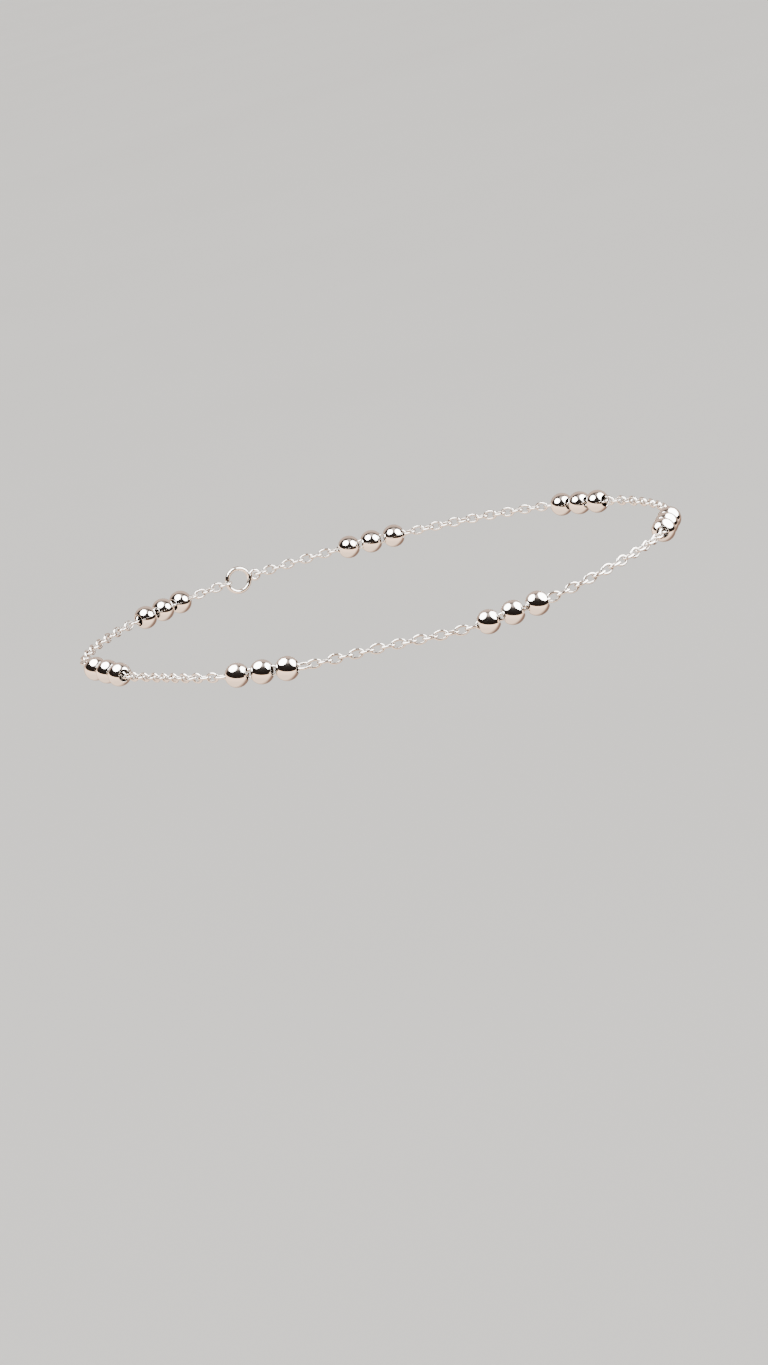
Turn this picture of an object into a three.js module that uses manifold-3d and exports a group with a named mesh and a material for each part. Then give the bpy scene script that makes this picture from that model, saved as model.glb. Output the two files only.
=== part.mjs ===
// Beaded anklet: a fine cable chain with polished ball beads on it in evenly spaced groups of three.
// Millimetres, +Z up along the ankle, +X towards the toes, -Y the side that is seen.
// The origin is the middle of the loop.
import * as THREE from "three";
import { mergeVertices } from "three/addons/utils/BufferGeometryUtils.js";
import Module from "manifold-3d";

// Outline of the worn loop, as the radius at each angle round the ankle. The seen side follows the ankle:
// an oval with the bulge of the ankle bone and the hollow behind it. The far side is a plain oval.
const MEAN_RADIUS = 37.62;
const RADIUS_WAVES = [
  { turns: 2, size: 6.25 },
  { turns: 3, size: 1.2 },
  { turns: 4, size: 0.22 },
  { turns: 5, size: -1.67 },
  { turns: 6, size: 0.73 },
  { turns: 7, size: -0.44 },
];
const FAR_HALF_WIDTH = 37.02;

// The seen side rises and falls a little where it lies over bone and hollow.
const HEIGHT_WAVES = [
  { turns: 2, size: 0.96 },
  { turns: 3, size: 0.66 },
  { turns: 4, size: 0.1 },
  { turns: 5, size: -0.24 },
  { turns: 6, size: 0.04 },
  { turns: 7, size: -0.28 },
];

// Beads. They come in groups of three, one group to each seventh of the loop. The beads of a group sit tight
// against each other and hold the chain straight, from a little before the first to a little past the last.
const GROUPS = 7;
const BEADS_IN_GROUP = 3;
const BEAD_DIAMETER = 3.5;
const BEAD_SPACING = 3.62;
const BORE_DIAMETER = 1.7;
const BEAD_SIDES = 16;
const BEAD_BANDS = 6;
const STRAIGHT_LENGTH = 11;

// The middle of the gap between the second and third groups lies this far past the middle of the seen side.
const GROUP_SHIFT = 5.22;
const GAPS_BEFORE_MIDDLE = 2;

// Chain, as the round form that its interlocked oval links fill. Its tube bends only at the ends of its steps,
// which lie outside the beads. There are 24 links from one group to the next.
const LINKS_IN_GAP = 24;
const CHAIN_DIAMETER = 1.45;
const CHAIN_SIDES = 8;
const STEPS_IN_GROUP = 3;
const LONGEST_STEP = 3.2;

// Clasp: a round ring with a small fixed eye, flat against the ankle on the hidden side. It lies just past
// the middle of the gap after the sixth group, where it joins two links that are four links apart.
const CLASP_AFTER_GROUP = 6;
const CLASP_LINKS = 4;
const CLASP_INSET = 0.06;
const EYE_DIAMETER = 1.9;
const EYE_WIRE = 0.5;
const EYE_SINK = 0.3;
const RING_WIRE = 0.7;
const RING_SIDES = 16;
const WIRE_SIDES = 6;
const END_GAP = 0.3;

const SILVER = { color: 0xece9e4, roughness: 0.12, metalness: 1 };
const CURVE_DIVISIONS = 4000;

const wasm = await Module();
wasm.setup();

// Value of a sum of cosine waves at an angle.
function waves(list, angle) {
  return list.reduce((sum, wave) => sum + wave.size * Math.cos(wave.turns * angle), 0);
}

// The whole closed loop. Its parameter runs once round from the toe side, through the far side first.
class AnkletLoop extends THREE.Curve {
  constructor() {
    super();
    this.arcLengthDivisions = CURVE_DIVISIONS;
    this.frontRadius = MEAN_RADIUS + waves(RADIUS_WAVES, 0);
    this.backRadius = MEAN_RADIUS + waves(RADIUS_WAVES, Math.PI);
    this.frontHeight = waves(HEIGHT_WAVES, 0);
    this.backHeight = waves(HEIGHT_WAVES, Math.PI);
  }

  farRadius(angle) {
    const endRadius = (this.frontRadius + this.backRadius) / 2;
    const middle = (endRadius + FAR_HALF_WIDTH) / 2;
    const oval = (endRadius - FAR_HALF_WIDTH) / 2;
    const lean = (this.frontRadius - this.backRadius) / 2;
    return middle + lean * Math.cos(angle) + oval * Math.cos(2 * angle);
  }

  farHeight(angle) {
    const middle = (this.frontHeight + this.backHeight) / 2;
    const lean = (this.frontHeight - this.backHeight) / 2;
    return middle + lean * Math.cos(angle);
  }

  getPoint(t, target = new THREE.Vector3()) {
    const angle = 2 * Math.PI * (t - Math.floor(t));
    const isFar = angle < Math.PI;
    const radius = isFar ? this.farRadius(angle) : MEAN_RADIUS + waves(RADIUS_WAVES, angle);
    const height = isFar ? this.farHeight(angle) : waves(HEIGHT_WAVES, angle);
    return target.set(radius * Math.cos(angle), radius * Math.sin(angle), height);
  }
}

const loop = new AnkletLoop();
const LOOP_LENGTH = loop.getLength();
const GROUP_GAP = LOOP_LENGTH / GROUPS;
const LINK_PITCH = GROUP_GAP / LINKS_IN_GAP;

// Point of the loop at a distance along it, which may run past either end.
function pointAt(distance) {
  const turns = distance / LOOP_LENGTH;
  return loop.getPointAt(turns - Math.floor(turns));
}

// The middle of the seen side, as a distance along the loop.
function middleOfSeenSide() {
  const lengths = loop.getLengths();
  return lengths[Math.round(0.75 * CURVE_DIVISIONS)];
}

const SEEN_MIDDLE = middleOfSeenSide() + GROUP_SHIFT;

// Distance along the loop of a group's middle. Groups count from 1 at the heel end of the seen side.
function groupDistance(group) {
  return SEEN_MIDDLE + (group - GAPS_BEFORE_MIDDLE - 0.5) * GROUP_GAP;
}

// The straight line through a group's beads.
function straightThrough(group) {
  const middle = groupDistance(group);
  return new THREE.LineCurve3(pointAt(middle - STRAIGHT_LENGTH / 2), pointAt(middle + STRAIGHT_LENGTH / 2));
}

function silver() {
  return new THREE.MeshStandardMaterial(SILVER);
}

// A drilled ball: a closed profile of the ball's arc and the bore's wall, turned round Y.
function beadGeometry() {
  const radius = BEAD_DIAMETER / 2;
  const boreRadius = BORE_DIAMETER / 2;
  const openingAngle = Math.acos(boreRadius / radius);
  const profile = [];
  for (let band = 0; band <= BEAD_BANDS; band += 1) {
    const angle = openingAngle * ((2 * band) / BEAD_BANDS - 1);
    profile.push(new THREE.Vector2(radius * Math.cos(angle), radius * Math.sin(angle)));
  }
  profile.push(profile[0].clone());
  return new THREE.LatheGeometry(profile, BEAD_SIDES);
}

function bead(group, place) {
  const mesh = new THREE.Mesh(beadGeometry(), silver());
  mesh.name = `bead_${group}_${place}`;
  const line = straightThrough(group);
  const along = line.getTangent(0);
  const offset = (place - (BEADS_IN_GROUP + 1) / 2) * BEAD_SPACING;
  mesh.position.copy(line.getPoint(0.5)).addScaledVector(along, offset);
  mesh.quaternion.setFromUnitVectors(new THREE.Vector3(0, 1, 0), along);
  return mesh;
}

// A route that runs straight from each of its points to the next, with one section of the tube at each point.
class SteppedRoute extends THREE.Curve {
  constructor(points) {
    super();
    this.points = points;
  }

  getPoint(t, target = new THREE.Vector3()) {
    const place = t * (this.points.length - 1);
    const step = Math.min(Math.floor(place), this.points.length - 2);
    return target.lerpVectors(this.points[step], this.points[step + 1], place - step);
  }

  getUtoTmapping(u) {
    return u;
  }
}

function chainSection() {
  const section = new THREE.Shape();
  for (let side = 0; side < CHAIN_SIDES; side += 1) {
    const angle = (2 * Math.PI * side) / CHAIN_SIDES;
    const x = (CHAIN_DIAMETER / 2) * Math.cos(angle);
    const y = (CHAIN_DIAMETER / 2) * Math.sin(angle);
    if (side === 0) section.moveTo(x, y);
    else section.lineTo(x, y);
  }
  section.closePath();
  return section;
}

const GAP_MIDDLE = groupDistance(CLASP_AFTER_GROUP) + GROUP_GAP / 2;
const CLASP_START = GAP_MIDDLE + CLASP_INSET;
const CLASP_END = GAP_MIDDLE + CLASP_LINKS * LINK_PITCH - CLASP_INSET;

// Even steps along a stretch of the loop between two groups, without the point where it ends.
function curvedStretch(start, end) {
  const steps = Math.ceil((end - start) / LONGEST_STEP);
  return Array.from({ length: steps }, (_, step) => pointAt(start + ((end - start) * step) / steps));
}

// The chain runs from the clasp's ring right round to the clasp's eye, through every group on the way.
function chainPoints() {
  const points = [];
  let from = CLASP_END + END_GAP;
  for (let count = 1; count <= GROUPS; count += 1) {
    const group = CLASP_AFTER_GROUP + count;
    points.push(...curvedStretch(from, groupDistance(group) - STRAIGHT_LENGTH / 2));
    points.push(...straightThrough(group).getPoints(STEPS_IN_GROUP).slice(0, -1));
    from = groupDistance(group) + STRAIGHT_LENGTH / 2;
  }
  const end = CLASP_START - END_GAP + LOOP_LENGTH;
  return [...points, ...curvedStretch(from, end), pointAt(end)];
}

function chain() {
  const points = chainPoints();
  const geometry = new THREE.ExtrudeGeometry(chainSection(), {
    steps: points.length - 1,
    extrudePath: new SteppedRoute(points),
  });
  const mesh = new THREE.Mesh(geometry, silver());
  mesh.name = "chain";
  return mesh;
}

// A closed three.js geometry as a solid that can be joined to another.
function solidOf(geometry) {
  const bare = geometry.clone();
  bare.deleteAttribute("normal");
  bare.deleteAttribute("uv");
  const merged = mergeVertices(bare, 1e-4);
  return new wasm.Manifold(
    new wasm.Mesh({
      numProp: 3,
      vertProperties: merged.attributes.position.array,
      triVerts: new Uint32Array(merged.index.array),
    }),
  );
}

function geometryOf(solid) {
  const made = solid.getMesh();
  const geometry = new THREE.BufferGeometry();
  geometry.setAttribute("position", new THREE.BufferAttribute(made.vertProperties, 3));
  geometry.setIndex(new THREE.BufferAttribute(made.triVerts, 1));
  return geometry.toNonIndexed();
}

// A wire ring in the XY plane.
function wireRing(diameter, wire) {
  return new THREE.TorusGeometry((diameter - wire) / 2, wire / 2, WIRE_SIDES, RING_SIDES);
}

// The ring and its eye are soldered together. They lie in their own XY plane along Y, the eye at the low end.
function clasp() {
  const length = CLASP_END - CLASP_START;
  const ringDiameter = length - EYE_DIAMETER + EYE_SINK;
  const ringShift = (length - ringDiameter) / 2;
  const eyeShift = (EYE_DIAMETER - length) / 2;
  const ring = solidOf(wireRing(ringDiameter, RING_WIRE).translate(0, ringShift, 0));
  const eye = solidOf(wireRing(EYE_DIAMETER, EYE_WIRE).translate(0, eyeShift, 0));
  const geometry = geometryOf(ring.add(eye));
  geometry.computeVertexNormals();
  const mesh = new THREE.Mesh(geometry, silver());
  mesh.name = "clasp";
  const before = pointAt(CLASP_START);
  const after = pointAt(CLASP_END);
  const along = after.clone().sub(before).normalize();
  const inward = new THREE.Vector3(0, 0, 1).cross(along).normalize();
  const up = along.clone().cross(inward);
  mesh.quaternion.setFromRotationMatrix(new THREE.Matrix4().makeBasis(up, along, inward));
  mesh.position.copy(before).add(after).multiplyScalar(0.5);
  return mesh;
}

const anklet = new THREE.Group();
anklet.add(chain(), clasp());
for (let group = 1; group <= GROUPS; group += 1) {
  for (let place = 1; place <= BEADS_IN_GROUP; place += 1) {
    anklet.add(bead(group, place));
  }
}

export default anklet;
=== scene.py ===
import math
import random

import bpy
import numpy as np
from mathutils import Matrix, Vector


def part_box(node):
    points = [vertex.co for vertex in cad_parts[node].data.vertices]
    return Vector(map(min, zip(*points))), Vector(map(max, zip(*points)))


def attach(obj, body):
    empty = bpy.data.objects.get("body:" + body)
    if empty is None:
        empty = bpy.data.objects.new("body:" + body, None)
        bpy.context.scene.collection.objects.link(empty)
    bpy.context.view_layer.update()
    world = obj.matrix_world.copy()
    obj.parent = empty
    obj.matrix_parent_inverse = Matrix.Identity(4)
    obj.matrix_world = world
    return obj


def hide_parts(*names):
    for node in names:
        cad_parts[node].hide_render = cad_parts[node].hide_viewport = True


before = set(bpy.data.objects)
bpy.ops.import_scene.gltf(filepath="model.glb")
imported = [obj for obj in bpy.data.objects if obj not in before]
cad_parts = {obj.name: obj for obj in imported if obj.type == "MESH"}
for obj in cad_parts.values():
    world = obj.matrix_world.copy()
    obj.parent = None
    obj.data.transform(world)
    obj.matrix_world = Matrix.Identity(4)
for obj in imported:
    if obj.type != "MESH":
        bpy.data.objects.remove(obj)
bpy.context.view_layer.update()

MM = 0.001

# Camera: its direction from the anklet, its roll, and how far the view's middle lies from the origin.
CAMERA_AZIMUTH = math.radians(11.98)
CAMERA_ELEVATION = math.radians(12.87)
CAMERA_ROLL = math.radians(-15.2)
CAMERA_DISTANCE = 556.58 * MM
CAMERA_SIDE_SHIFT = 0.33 * MM
CAMERA_RISE = -12.85 * MM
NEAREST_SEEN = 10 * MM
LENS = 100
SENSOR = 36

# Loop, as the radius and height at each angle round the ankle. The seen side is a sum of cosine waves, given
# by their turns, and its middle lies at SEEN_SIDE of the way round. The far side is a plain oval.
MEAN_RADIUS = 37.62 * MM
RADIUS_WAVES = {
    2: 6.25 * MM,
    3: 1.2 * MM,
    4: 0.22 * MM,
    5: -1.67 * MM,
    6: 0.73 * MM,
    7: -0.44 * MM,
}
FAR_HALF_WIDTH = 37.02 * MM
HEIGHT_WAVES = {
    2: 0.96 * MM,
    3: 0.66 * MM,
    4: 0.1 * MM,
    5: -0.24 * MM,
    6: 0.04 * MM,
    7: -0.28 * MM,
}
ROUTE_STEPS = 4000
SEEN_SIDE = 0.75

# Beads. The middle of the gap between the second and third groups lies GROUP_SHIFT past the middle of the
# seen side.
GROUPS = 7
BEADS_IN_GROUP = 3
BEAD_RADIUS = 1.75 * MM
BEAD_SPACING = 3.62 * MM
STRAIGHT_LENGTH = 11 * MM
BORE_RADIUS = 0.85 * MM
BORE_EDGE_RADIUS = 0.07 * MM
# How much of the bore's painted shade its rounded edge takes, at most.
BORE_EDGE_SHADE = 0.35
GROUP_SHIFT = 5.22 * MM
GAPS_BEFORE_MIDDLE = 2
BEAD_SIDES = 96
BALL_STEPS = 52
EDGE_STEPS = 6
BORE_STEPS = 4
PLACE_TOLERANCE = 0.03 * MM

# Chain links: ovals of round wire, none quite like the next. The solder swells one side of each a little.
LINKS_IN_GAP = 24
LINK_LENGTH = 2.28 * MM
LINK_WIDTH = 1.58 * MM
WIRE_RADIUS = 0.18 * MM
WIDTH_SPREAD = 0.04
LINK_STEPS = 44
WIRE_SIDES = 12
SOLDER_SWELL = 0.07
SOLDER_REACH = 0.22 * MM

# How far the links lie off their exact places. The roll wanders slowly, at rates in radians a link, and
# jitters from link to link. The beads calm the jitter of the links inside them.
ROLL_WANDER = math.radians(9)
WANDER_RATES = (0.21, 0.083)
ROLL_JITTER = math.radians(5)
SWING_JITTER = math.radians(2.5)
CALM_IN_BORE = 0.25
LINK_SEED = 11

# The chain takes a quarter turn inside the beads of one group and gives it back in another.
TURNING_GROUPS = {3: 1, 5: -1}

# Links that lie turned by more than the rest, by group and count from its middle.
TURNED_LINKS = {
    (2, 2): math.radians(12),
    (2, 3): math.radians(24),
    (2, 4): math.radians(34),
    (2, 5): math.radians(20),
    (2, 6): math.radians(8),
    (3, -5): math.radians(-6),
    (3, -4): math.radians(-12),
    (3, -3): math.radians(-8),
}

# Clasp.
CLASP_AFTER_GROUP = 6
CLASP_LINKS = 4
CLASP_INSET = 0.06 * MM
EYE_DIAMETER = 1.9 * MM
EYE_WIRE = 0.5 * MM
EYE_SINK = 0.3 * MM
RING_WIRE = 0.7 * MM
CLASP_STEPS = 96
CLASP_SIDES = 24
SOLDER_VOXEL = 0.035 * MM
SOLDER_SMOOTHING = 0.5
SOLDER_PASSES = 6

# Silver. Colours are linear, and scales are in waves a metre. A range is given as the values where an effect
# starts and where it is full.
BEAD_FINISH = {
    "colour": (0.95, 0.93, 0.90),
    "worn_colour": (0.93, 0.905, 0.87),
    # Painted shade: near black deep in the bore, fading out over its rounded edge.
    "recess_shade_mark": "bore",
    "painted_recess_shade": (0.015, 0.012, 0.010),
    "base_roughness": 0.04,
    "wave_scale": 650,
    "wave_depth": 0.0005 * MM,
}
CHAIN_FINISH = {
    "colour": (0.94, 0.925, 0.90),
    "worn_colour": (0.90, 0.875, 0.84),
    # Painted shade: grey-brown on the side of the wire that faces into each link.
    "recess_shade_mark": "inner",
    "painted_recess_shade": (0.42, 0.37, 0.33),
    "base_roughness": 0.09,
    "wave_scale": 2700,
    "wave_depth": 0.02 * MM,
}
CLOUD_SCALE = 420
CLOUD_RANGE = (0.35, 0.7)
# Mottle of the painted shade in recesses, and the roughness added there.
RECESS_SHADE_MOTTLE_SCALE = 2600
RECESS_SHADE_MOTTLE_RANGE = (0.3, 0.65)
LEAST_RECESS_SHADE = 0.85
RECESS_ROUGHNESS = 0.3
HAZE_SCALE = 900
HAZE_RANGE = (0.3, 0.75)
HAZE_ROUGHNESS = (0.7, 1.7)
HAIRLINES = (
    {"scale": 5200, "stretch": (1, 1, 0.06)},
    {"scale": 4300, "stretch": (0.05, 1, 1)},
)
HAIRLINE_TURN = (0.4, 0.7, 0.2)
HAIRLINE_RANGE = (0.56, 0.72)
HAIRLINE_ROUGHNESS = 0.035
HAIRLINE_DEPTH = -0.02

# Floor: pale matt paper.
FLOOR_HEIGHT = -85 * MM
FLOOR_RADIUS = 20
FLOOR_SIDES = 96
PAPER_SCALE = 6
PAPER = ((0.3, (0.80, 0.785, 0.765)), (0.7, (0.82, 0.805, 0.785)))
PAPER_ROUGHNESS = 0.9
PAPER_SHEEN = 0.1

# Surroundings. The fill lights everything evenly. What the silver mirrors is a room that leans towards the
# camera by a pitch, given by height from 0 below to 1 overhead: a table, a dark wall and a pale ceiling. Its
# rear is pale, and the table is shaded in one corner and towards its far edge.
FILL = (1.3, 1.28, 1.24)
STUDIO_PITCH = math.radians(22)
TABLE_NEAR = (2.0, 1.45, 1.08)
TABLE_FAR = (2.9, 2.02, 1.44)
CHARCOAL = (0.022, 0.015, 0.012)
DARK_GREY = (0.036, 0.030, 0.027)
BAR_GREY = (0.12, 0.105, 0.095)
CEILING = (0.95, 0.78, 0.70)
ROOM = (
    (0.10, TABLE_NEAR),
    (0.425, TABLE_FAR),
    (0.437, CHARCOAL),
    (0.60, CHARCOAL),
    (0.84, DARK_GREY),
    (0.95, BAR_GREY),
    (0.99, CEILING),
)
ROOM_NOISE_SCALE = 5
ROOM_UNEVENNESS = 0.02
ABOVE_TABLE = (0.44, 0.5)
BELOW_WALL = (0.46, 0.40)
REAR = (0.9, 0.66, 0.54)
REAR_RANGE = (-0.4, -0.72)
SHADE = (0.36, 0.22, 0.165)
SHADE_RANGE = (0.62, 0.92)
SHADED_CORNER = {"right": 0.6, "up": -0.35, "back": -0.75}
EDGE = (0.44, 0.27, 0.19)
EDGE_RANGE = (-0.5, -0.95)

# Two big soft boxes overhead that show in the beads. Their places from the target are in millimetres along
# the camera's right, up and back, and their sizes are in millimetres.
SOFT_BOXES = {
    "soft_box_left": {"place": (-62, 76, 12), "size": (112, 138)},
    "soft_box_right": {"place": (72, 78, 5), "size": (122, 142)},
}
SOFT_BOX_RADIANCE = 14
SOFT_BOX_COLOUR = (1, 0.99, 0.97)
SOFT_BOX_TARGET = Vector((5, -35, 0)) * MM

# A weak key light that the silver doesn't mirror.
KEY_PLACE = Vector((-0.6, -0.9, 1.6))
KEY_SIZE = 0.7
KEY_POWER = 6
KEY_COLOUR = (1, 0.98, 0.95)


def camera_axes():
    """Right, up and back of the camera."""
    azimuth, elevation = CAMERA_AZIMUTH, CAMERA_ELEVATION
    back = Vector(
        (
            math.sin(azimuth) * math.cos(elevation),
            -math.cos(azimuth) * math.cos(elevation),
            math.sin(elevation),
        )
    )
    level = Vector((math.cos(azimuth), math.sin(azimuth), 0))
    upright = back.cross(level)
    cosine, sine = math.cos(CAMERA_ROLL), math.sin(CAMERA_ROLL)
    return level * cosine + upright * sine, upright * cosine - level * sine, back


def make_camera():
    right, up, back = camera_axes()
    data = bpy.data.cameras.new("camera")
    data.lens = LENS
    data.sensor_width = SENSOR
    data.clip_start = NEAREST_SEEN
    camera = bpy.data.objects.new("camera", data)
    bpy.context.scene.collection.objects.link(camera)
    turn = Matrix((right, up, back)).transposed().to_4x4()
    place = back * CAMERA_DISTANCE + right * CAMERA_SIDE_SHIFT + up * CAMERA_RISE
    camera.matrix_world = Matrix.Translation(place) @ turn
    bpy.context.scene.camera = camera


def waves(sizes, angle):
    return sum(size * math.cos(turns * angle) for turns, size in sizes.items())


def loop_point(turn):
    """The loop's point at a share of its parameter, from the toe side through the far side."""
    angle = 2 * math.pi * (turn % 1)
    front, back = MEAN_RADIUS + waves(RADIUS_WAVES, 0), MEAN_RADIUS + waves(RADIUS_WAVES, math.pi)
    high, low = waves(HEIGHT_WAVES, 0), waves(HEIGHT_WAVES, math.pi)
    if angle < math.pi:
        end = (front + back) / 2
        middle, oval, lean = (end + FAR_HALF_WIDTH) / 2, (end - FAR_HALF_WIDTH) / 2, (front - back) / 2
        radius = middle + lean * math.cos(angle) + oval * math.cos(2 * angle)
        height = (high + low) / 2 + (high - low) / 2 * math.cos(angle)
    else:
        radius = MEAN_RADIUS + waves(RADIUS_WAVES, angle)
        height = waves(HEIGHT_WAVES, angle)
    return Vector((radius * math.cos(angle), radius * math.sin(angle), height))


class Route:
    """The whole closed loop, measured along its length."""

    def __init__(self):
        self.turns = np.linspace(0, 1, ROUTE_STEPS + 1)
        points = np.array([loop_point(turn) for turn in self.turns])
        steps = np.linalg.norm(np.diff(points, axis=0), axis=1)
        self.lengths = np.concatenate(([0], np.cumsum(steps)))
        self.length = self.lengths[-1]

    def point(self, distance):
        return loop_point(float(np.interp(distance % self.length, self.lengths, self.turns)))


route = Route()
GROUP_GAP = route.length / GROUPS
LINK_PITCH = GROUP_GAP / LINKS_IN_GAP
SEEN_MIDDLE = float(route.lengths[round(SEEN_SIDE * ROUTE_STEPS)]) + GROUP_SHIFT


def group_distance(group):
    """Distance along the loop of a group's middle. Groups count from 1 at the heel end of the seen side."""
    return SEEN_MIDDLE + (group - GAPS_BEFORE_MIDDLE - 0.5) * GROUP_GAP


def straight_ends(middle):
    """The ends of the straight line through a group's beads, from its middle's distance along the loop."""
    return route.point(middle - STRAIGHT_LENGTH / 2), route.point(middle + STRAIGHT_LENGTH / 2)


def bead_place(group, place):
    """A bead's middle and its axis."""
    start, end = straight_ends(group_distance(group))
    axis = (end - start).normalized()
    return (start + end) / 2 + axis * (place - (BEADS_IN_GROUP + 1) / 2) * BEAD_SPACING, axis


def from_group(distance):
    """How far a place on the loop lies past the nearest group's middle, or before it if negative."""
    return (distance - group_distance(1) + GROUP_GAP / 2) % GROUP_GAP - GROUP_GAP / 2


def chain_point(distance):
    """The chain's middle line, which follows the loop and runs straight through each group."""
    past = from_group(distance)
    if abs(past) > STRAIGHT_LENGTH / 2:
        return route.point(distance)
    start, end = straight_ends(distance - past)
    return start.lerp(end, past / STRAIGHT_LENGTH + 0.5)


def chain_axes(distance, reach):
    """Along the chain, away from the ankle, and up, from the chord over a reach to each side."""
    along = (chain_point(distance + reach) - chain_point(distance - reach)).normalized()
    outward = along.cross(Vector((0, 0, 1))).normalized()
    return along, outward, outward.cross(along)


def mesh_piece(name, points, faces, material, marks):
    """A smooth mesh object at the origin. marks holds one number a vertex for each named attribute."""
    mesh = bpy.data.meshes.new(name)
    mesh.from_pydata([tuple(point) for point in points], [], faces)
    mesh.polygons.foreach_set("use_smooth", [True] * len(mesh.polygons))
    for mark, values in marks.items():
        layer = mesh.attributes.new(mark, "FLOAT", "POINT")
        layer.data.foreach_set("value", np.asarray(values, dtype=np.float32))
    mesh.materials.append(material)
    mesh.validate()
    piece = bpy.data.objects.new(name, mesh)
    bpy.context.scene.collection.objects.link(piece)
    return piece


def finish_piece(piece, slot, *nodes):
    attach(piece, "root")
    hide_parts(*nodes)


def ring_faces(rings, sides, first=0):
    """Quads between neighbouring rings of points, with the last ring joined to the first."""
    faces = []
    for ring in range(rings):
        here, there = first + ring * sides, first + ((ring + 1) % rings) * sides
        for side in range(sides):
            after = (side + 1) % sides
            faces.append((here + side, here + after, there + after, there + side))
    return faces


def bead_profile():
    """Points (distance from the axis, place along it, painted shade by depth in the bore from 0 to 1) round
    the section.
    """
    edge = BORE_EDGE_RADIUS
    edge_out = BORE_RADIUS + edge
    edge_along = math.sqrt((BEAD_RADIUS - edge) ** 2 - edge_out**2)
    start = math.atan2(edge_along, edge_out)
    ball = []
    for step in range(BALL_STEPS + 1):
        angle = start * (1 - 2 * step / BALL_STEPS)
        ball.append((BEAD_RADIUS * math.cos(angle), BEAD_RADIUS * math.sin(angle), 0))
    top_edge = []
    for step in range(1, EDGE_STEPS + 1):
        angle = start + (math.pi - start) * step / EDGE_STEPS
        depth = BORE_EDGE_SHADE * step / EDGE_STEPS
        top_edge.append((edge_out + edge * math.cos(angle), edge_along + edge * math.sin(angle), depth))
    bottom_edge = [(out, -along, depth) for out, along, depth in top_edge]
    bore = []
    for step in range(BORE_STEPS + 1):
        bore.append((BORE_RADIUS, (edge_along - edge) * (2 * step / BORE_STEPS - 1), 1))
    return ball + bottom_edge + bore + top_edge[::-1]


def make_bead(group, place, material):
    """One drilled ball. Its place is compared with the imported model's."""
    node = f"bead_{group}_{place}"
    middle, axis = bead_place(group, place)
    low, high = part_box(node)
    if (middle - (Vector(low) + Vector(high)) / 2).length > PLACE_TOLERANCE:
        raise ValueError(f"{node} isn't where the packed model has it")
    turn = axis.to_track_quat("Z", "Y").to_matrix()
    points, depths = [], []
    profile = bead_profile()
    for out, along, depth in profile:
        for side in range(BEAD_SIDES):
            angle = 2 * math.pi * side / BEAD_SIDES
            local = Vector((out * math.cos(angle), out * math.sin(angle), along))
            points.append(middle + turn @ local)
            depths.append(depth)
    faces = [face[::-1] for face in ring_faces(len(profile), BEAD_SIDES)]
    piece = mesh_piece(f"silver_{node}", points, faces, material, {"bore": depths})
    finish_piece(piece, "bead_silver", node)


def oval_path(width):
    """Places (along, across) and outward directions round a link's wire."""
    half_length, half_width = LINK_LENGTH / 2 - WIRE_RADIUS, width / 2 - WIRE_RADIUS
    path = []
    for step in range(LINK_STEPS):
        angle = 2 * math.pi * step / LINK_STEPS
        forward, sideways = math.cos(angle), math.sin(angle)
        out = Vector((forward / half_length, sideways / half_width)).normalized()
        path.append(((half_length * forward, half_width * sideways), out))
    return path


def link_points(pose, width, solder_side):
    """The wire's rings of points, and how far each faces into the link, which sets the painted shade there.
    """
    middle, along, across, normal = pose
    points, inner = [], []
    for (forward, sideways), (out_forward, out_sideways) in oval_path(width):
        centre = middle + along * forward + across * sideways
        out = along * out_forward + across * out_sideways
        near = max(0, 1 - abs(forward) / SOLDER_REACH) if sideways * solder_side > 0 else 0
        radius = WIRE_RADIUS * (1 + SOLDER_SWELL * near * near * (3 - 2 * near))
        for side in range(WIRE_SIDES):
            angle = 2 * math.pi * side / WIRE_SIDES
            points.append(centre + out * (radius * math.cos(angle)) + normal * (radius * math.sin(angle)))
            inner.append(max(0, -math.cos(angle)))
    return points, inner


def link_number(group, count):
    """The number of a link that lies a count of links past a group's middle."""
    return round((GROUPS + group - GAPS_BEFORE_MIDDLE - 0.5) * LINKS_IN_GAP) + count


EXTRA_TURNS = {link_number(*place): turn for place, turn in TURNED_LINKS.items()}


def quarter_turn(number):
    """How far the chain has turned at a link, where the turns lie inside the beads of a group."""
    place = GAPS_BEFORE_MIDDLE + 0.5 + number / LINKS_IN_GAP - GROUPS
    reach = BEAD_SPACING * BEADS_IN_GROUP / 2 / GROUP_GAP
    turn = 0
    for group, sign in TURNING_GROUPS.items():
        share = ((place - group) / reach + 1) / 2
        turn += sign * math.pi / 2 * min(max(share, 0), 1)
    return turn


def link_pose(number, phases, draws):
    """A link's middle, and its directions along, across and square to its plane."""
    distance = SEEN_MIDDLE + number * LINK_PITCH
    calm = CALM_IN_BORE if abs(from_group(distance)) < STRAIGHT_LENGTH / 2 else 1
    along, outward, up = chain_axes(distance, LINK_PITCH / 2)
    wander = sum(math.sin(number * rate + phase) for rate, phase in zip(WANDER_RATES, phases))
    roll = ROLL_WANDER * wander / len(WANDER_RATES) + calm * draws.uniform(-ROLL_JITTER, ROLL_JITTER)
    roll += quarter_turn(number) + EXTRA_TURNS.get(number, 0)
    if number % 2 == 0:
        roll += math.pi / 2
    across = up * math.cos(roll) + outward * math.sin(roll)
    normal = along.cross(across)
    swing = calm * draws.uniform(-SWING_JITTER, SWING_JITTER)
    swung_along = along * math.cos(swing) + across * math.sin(swing)
    swung_across = across * math.cos(swing) - along * math.sin(swing)
    return chain_point(distance), swung_along, swung_across, normal


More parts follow.
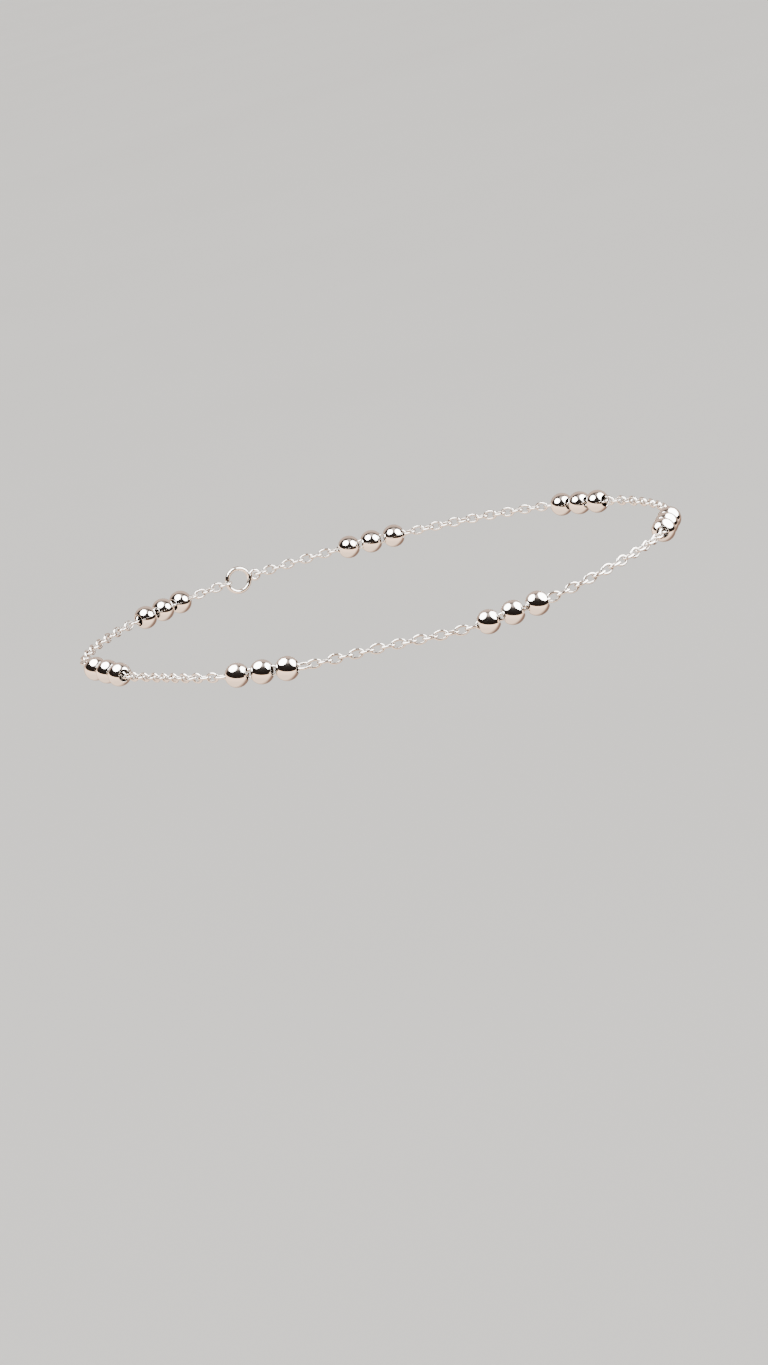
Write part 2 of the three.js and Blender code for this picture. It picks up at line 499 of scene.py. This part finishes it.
def make_chain(material):
    """All the links in one mesh, from the clasp's ring right round to its eye."""
    draws = random.Random(LINK_SEED)
    first = (CLASP_AFTER_GROUP - GAPS_BEFORE_MIDDLE) * LINKS_IN_GAP + CLASP_LINKS
    last = first + GROUPS * LINKS_IN_GAP - CLASP_LINKS
    phases = [draws.uniform(0, 2 * math.pi) for _ in WANDER_RATES]
    points, faces, inner = [], [], []
    for number in range(first, last + 1):
        pose = link_pose(number, phases, draws)
        solder_side = draws.choice((-1, 1))
        width = LINK_WIDTH * (1 - draws.uniform(0, WIDTH_SPREAD))
        faces += ring_faces(LINK_STEPS, WIRE_SIDES, len(points))
        link, link_inner = link_points(pose, width, solder_side)
        points += link
        inner += link_inner
    piece = mesh_piece("silver_cable_chain", points, faces, material, {"inner": inner})
    finish_piece(piece, "chain_silver", "chain")


def wire_ring(shift, diameter, wire, first):
    """A round wire's points and faces, in the XY plane, with its middle at a shift along Y."""
    radius = (diameter - wire) / 2
    points = []
    for step in range(CLASP_STEPS):
        turn = 2 * math.pi * step / CLASP_STEPS
        for side in range(CLASP_SIDES):
            angle = 2 * math.pi * side / CLASP_SIDES
            out = radius + wire / 2 * math.cos(angle)
            points.append((out * math.cos(turn), shift + out * math.sin(turn), wire / 2 * math.sin(angle)))
    return points, ring_faces(CLASP_STEPS, CLASP_SIDES, first)


def solder(piece):
    """Fuse the parts of a piece and smooth its mesh where they join."""
    remesh = piece.modifiers.new("fuse", "REMESH")
    remesh.mode = "VOXEL"
    remesh.voxel_size = SOLDER_VOXEL / MM
    remesh.use_smooth_shade = True
    smooth = piece.modifiers.new("solder", "SMOOTH")
    smooth.factor = SOLDER_SMOOTHING
    smooth.iterations = SOLDER_PASSES
    graph = bpy.context.evaluated_depsgraph_get()
    fused = bpy.data.meshes.new_from_object(piece.evaluated_get(graph))
    piece.modifiers.clear()
    piece.data = fused


def make_clasp(material):
    """A ring with a small eye soldered to it, made in millimetres and then set in place in metres."""
    gap_middle = group_distance(CLASP_AFTER_GROUP) + GROUP_GAP / 2
    start = gap_middle + CLASP_INSET
    end = gap_middle + CLASP_LINKS * LINK_PITCH - CLASP_INSET
    length = end - start
    ring_diameter = length - EYE_DIAMETER + EYE_SINK
    ring_shift, eye_shift = (length - ring_diameter) / 2, (EYE_DIAMETER - length) / 2
    ring_points, ring_quads = wire_ring(ring_shift / MM, ring_diameter / MM, RING_WIRE / MM, 0)
    eye_points, eye_quads = wire_ring(eye_shift / MM, EYE_DIAMETER / MM, EYE_WIRE / MM, len(ring_points))
    piece = mesh_piece("silver_clasp", ring_points + eye_points, ring_quads + eye_quads, material, {})
    solder(piece)
    before, after = route.point(start), route.point(end)
    along = (after - before).normalized()
    inward = Vector((0, 0, 1)).cross(along).normalized()
    up = along.cross(inward)
    turn = Matrix((up, along, inward)).transposed().to_4x4()
    piece.data.transform(Matrix.Translation((before + after) / 2) @ turn @ Matrix.Scale(MM, 4))
    piece.data.polygons.foreach_set("use_smooth", [True] * len(piece.data.polygons))
    finish_piece(piece, "chain_silver", "clasp")


class Nodes:
    """Short ways to add and join shader nodes in one tree."""

    def __init__(self, tree):
        self.tree = tree
        tree.nodes.clear()

    def set_socket(self, socket, value):
        """Join a socket to another one, or give it a constant."""
        if isinstance(value, bpy.types.NodeSocket):
            self.tree.links.new(value, socket)
        else:
            socket.default_value = value

    def add(self, kind, inputs=None, **settings):
        node = self.tree.nodes.new(kind)
        for name, value in settings.items():
            setattr(node, name, value)
        for name, value in (inputs or {}).items():
            self.set_socket(node.inputs[name], value)
        return node

    def noise(self, vector, scale, detail=3, roughness=0.5):
        inputs = {"Vector": vector, "Scale": scale, "Detail": detail, "Roughness": roughness}
        return self.add("ShaderNodeTexNoise", inputs).outputs["Fac"]

    def ramp(self, factor, stops):
        """Colours by position. Each stop is (position, colour)."""
        node = self.add("ShaderNodeValToRGB", {"Fac": factor})
        elements = node.color_ramp.elements
        while len(elements) < len(stops):
            elements.new(0.5)
        for element, (position, colour) in zip(elements, stops):
            element.position = position
            element.color = (*colour, 1)
        return node.outputs["Color"]

    def spread(self, value, given, wanted):
        """A value carried from one range to another, and held at its ends."""
        inputs = {
            "Value": value,
            "From Min": given[0],
            "From Max": given[1],
            "To Min": wanted[0],
            "To Max": wanted[1],
        }
        return self.add("ShaderNodeMapRange", inputs).outputs["Result"]

    def fade(self, value, given):
        """From 0 at the start of a range to 1 at its end."""
        return self.spread(value, given, (0, 1))

    def maths(self, operation, first, second):
        node = self.add("ShaderNodeMath", operation=operation)
        self.set_socket(node.inputs[0], first)
        self.set_socket(node.inputs[1], second)
        return node.outputs["Value"]

    def mix(self, factor, first, second):
        """From the first colour to the second by a factor."""
        node = self.add("ShaderNodeMix", data_type="RGBA")
        sockets = {socket.identifier: socket for socket in node.inputs}
        self.set_socket(sockets["Factor_Float"], factor)
        for name, colour in (("A_Color", first), ("B_Color", second)):
            self.set_socket(sockets[name], (*colour, 1) if isinstance(colour, tuple) else colour)
        return next(socket for socket in node.outputs if socket.identifier == "Result_Color")


def new_material(name):
    material = bpy.data.materials.new(name)
    material.use_nodes = True
    return material, Nodes(material.node_tree)


def hairlines(nodes, position, scale, stretch):
    """Fine polishing lines: noise drawn out along one axis, from 0 to 1."""
    inputs = {"Vector": position, "Scale": stretch, "Rotation": HAIRLINE_TURN}
    mapped = nodes.add("ShaderNodeMapping", inputs).outputs["Vector"]
    return nodes.fade(nodes.noise(mapped, scale, detail=4, roughness=0.6), HAIRLINE_RANGE)


def silver(name, colour, worn_colour, recess_shade_mark, painted_recess_shade, base_roughness, wave_scale, wave_depth):
    """Polished silver with faint tone changes, polishing lines, small waves and painted shade in recesses.
    """
    material, nodes = new_material(name)
    position = nodes.add("ShaderNodeTexCoord").outputs["Object"]
    clouds = nodes.noise(position, CLOUD_SCALE, roughness=0.55)
    tone = nodes.mix(nodes.fade(clouds, CLOUD_RANGE), colour, worn_colour)
    recess = nodes.add("ShaderNodeAttribute", attribute_name=recess_shade_mark).outputs["Fac"]
    # Painted shade: the marked recesses are darkened towards the recess colour, mottled a little by noise,
    # and made rougher.
    shade_mottle = nodes.noise(position, RECESS_SHADE_MOTTLE_SCALE, detail=4, roughness=0.6)
    shade_mottle = nodes.spread(shade_mottle, RECESS_SHADE_MOTTLE_RANGE, (LEAST_RECESS_SHADE, 1))
    dark = nodes.maths("MULTIPLY", recess, shade_mottle)
    tone = nodes.mix(dark, tone, painted_recess_shade)
    scratches = nodes.maths("MAXIMUM", *(hairlines(nodes, position, **lines) for lines in HAIRLINES))
    haze = nodes.noise(position, HAZE_SCALE, detail=5, roughness=0.6)
    roughness = nodes.spread(haze, HAZE_RANGE, [base_roughness * share for share in HAZE_ROUGHNESS])
    roughness = nodes.maths("ADD", roughness, nodes.maths("MULTIPLY", scratches, HAIRLINE_ROUGHNESS))
    roughness = nodes.maths("ADD", roughness, nodes.maths("MULTIPLY", dark, RECESS_ROUGHNESS))
    waviness = nodes.noise(position, wave_scale, detail=2)
    relief = nodes.maths("ADD", waviness, nodes.maths("MULTIPLY", scratches, HAIRLINE_DEPTH))
    bump = nodes.add("ShaderNodeBump", {"Height": relief, "Strength": 1.0, "Distance": wave_depth})
    shader = nodes.add(
        "ShaderNodeBsdfPrincipled",
        {"Base Color": tone, "Metallic": 1.0, "Roughness": roughness, "Normal": bump.outputs["Normal"]},
    )
    nodes.add("ShaderNodeOutputMaterial", {"Surface": shader.outputs["BSDF"]})
    return material


def floor_material():
    """Pale matt paper with a hardly visible mottle."""
    material, nodes = new_material("pale_paper")
    position = nodes.add("ShaderNodeTexCoord").outputs["Object"]
    tone = nodes.ramp(nodes.noise(position, PAPER_SCALE), PAPER)
    shader = nodes.add("ShaderNodeBsdfPrincipled", {"Base Color": tone, "Roughness": PAPER_ROUGHNESS})
    shader.inputs["Specular IOR Level"].default_value = PAPER_SHEEN
    nodes.add("ShaderNodeOutputMaterial", {"Surface": shader.outputs["BSDF"]})
    return material


def make_floor():
    """A wide round pale floor. The surroundings carry its tone on past its edge."""
    points = [(0, 0, FLOOR_HEIGHT)]
    for side in range(FLOOR_SIDES):
        angle = 2 * math.pi * side / FLOOR_SIDES
        points.append((FLOOR_RADIUS * math.cos(angle), FLOOR_RADIUS * math.sin(angle), FLOOR_HEIGHT))
    faces = [(0, 1 + side, 1 + (side + 1) % FLOOR_SIDES) for side in range(FLOOR_SIDES)]
    floor = mesh_piece("floor", points, faces, floor_material(), {})
    floor.visible_glossy = False


def make_world():
    """The even fill, and the room that mirror rays meet in its place."""
    right, up, back = camera_axes()
    studio_up = up * math.cos(STUDIO_PITCH) + back * math.sin(STUDIO_PITCH)
    studio_back = back * math.cos(STUDIO_PITCH) - up * math.sin(STUDIO_PITCH)
    corner = SHADED_CORNER
    shaded = (right * corner["right"] + up * corner["up"] + back * corner["back"]).normalized()
    world = bpy.data.worlds.new("studio")
    world.use_nodes = True
    bpy.context.scene.world = world
    nodes = Nodes(world.node_tree)
    direction = nodes.add("ShaderNodeTexCoord").outputs["Generated"]

    def share(axis):
        inputs = {0: direction, 1: axis}
        return nodes.add("ShaderNodeVectorMath", inputs, operation="DOT_PRODUCT").outputs["Value"]

    noise = nodes.noise(direction, ROOM_NOISE_SCALE, detail=4, roughness=0.6)
    unevenness = nodes.spread(noise, (0, 1), (-ROOM_UNEVENNESS, ROOM_UNEVENNESS))
    height = nodes.fade(nodes.maths("ADD", share(studio_up), unevenness), (-1, 1))
    room = nodes.ramp(height, ROOM)
    above = nodes.fade(height, ABOVE_TABLE)
    below = nodes.fade(height, BELOW_WALL)
    behind = nodes.fade(share(studio_back), REAR_RANGE)
    room = nodes.mix(nodes.maths("MULTIPLY", behind, above), room, REAR)
    shadow = nodes.fade(share(shaded), SHADE_RANGE)
    room = nodes.mix(nodes.maths("MULTIPLY", shadow, below), room, SHADE)
    edge = nodes.fade(share(studio_back), EDGE_RANGE)
    room = nodes.mix(nodes.maths("MULTIPLY", edge, below), room, EDGE)
    mirrored = nodes.add("ShaderNodeLightPath").outputs["Is Glossy Ray"]
    colour = nodes.mix(mirrored, FILL, room)
    light = nodes.add("ShaderNodeBackground", {"Color": colour, "Strength": 1.0})
    nodes.add("ShaderNodeOutputWorld", {"Surface": light.outputs["Background"]})


def aim(place, target, upright):
    """A matrix at place whose -Z looks at target, with its Y towards upright."""
    back = (place - target).normalized()
    right = upright.cross(back).normalized()
    return Matrix.Translation(place) @ Matrix((right, back.cross(right), back)).transposed().to_4x4()


def area_light(name, shape, size, power, colour, matrix):
    data = bpy.data.lights.new(name, "AREA")
    data.shape = shape
    data.size, data.size_y = size
    data.energy = power
    data.color = colour
    lamp = bpy.data.objects.new(name, data)
    lamp.matrix_world = matrix
    lamp.visible_camera = False
    bpy.context.scene.collection.objects.link(lamp)
    return lamp


def make_lights():
    """The soft boxes, which light the silver alone, and the key, which the silver doesn't mirror."""
    right, up, back = camera_axes()
    for name, box in SOFT_BOXES.items():
        side, rise, near = box["place"]
        place = SOFT_BOX_TARGET + (right * side + up * rise + back * near) * MM
        width, height = (length * MM for length in box["size"])
        power = SOFT_BOX_RADIANCE * math.pi * (math.pi / 4 * width * height)
        matrix = aim(place, SOFT_BOX_TARGET, back)
        lamp = area_light(name, "ELLIPSE", (width, height), power, SOFT_BOX_COLOUR, matrix)
        lamp.visible_diffuse = False
    matrix = aim(KEY_PLACE, Vector((0, 0, FLOOR_HEIGHT)), up)
    key = area_light("key", "RECTANGLE", (KEY_SIZE, KEY_SIZE), KEY_POWER, KEY_COLOUR, matrix)
    key.visible_glossy = False


make_camera()
make_floor()
make_world()
make_lights()

bead_silver = silver("polished_bead_silver", **BEAD_FINISH)
chain_silver = silver("polished_wire_silver", **CHAIN_FINISH)
for group in range(1, GROUPS + 1):
    for place in range(1, BEADS_IN_GROUP + 1):
        make_bead(group, place, bead_silver)
make_chain(chain_silver)
make_clasp(chain_silver)
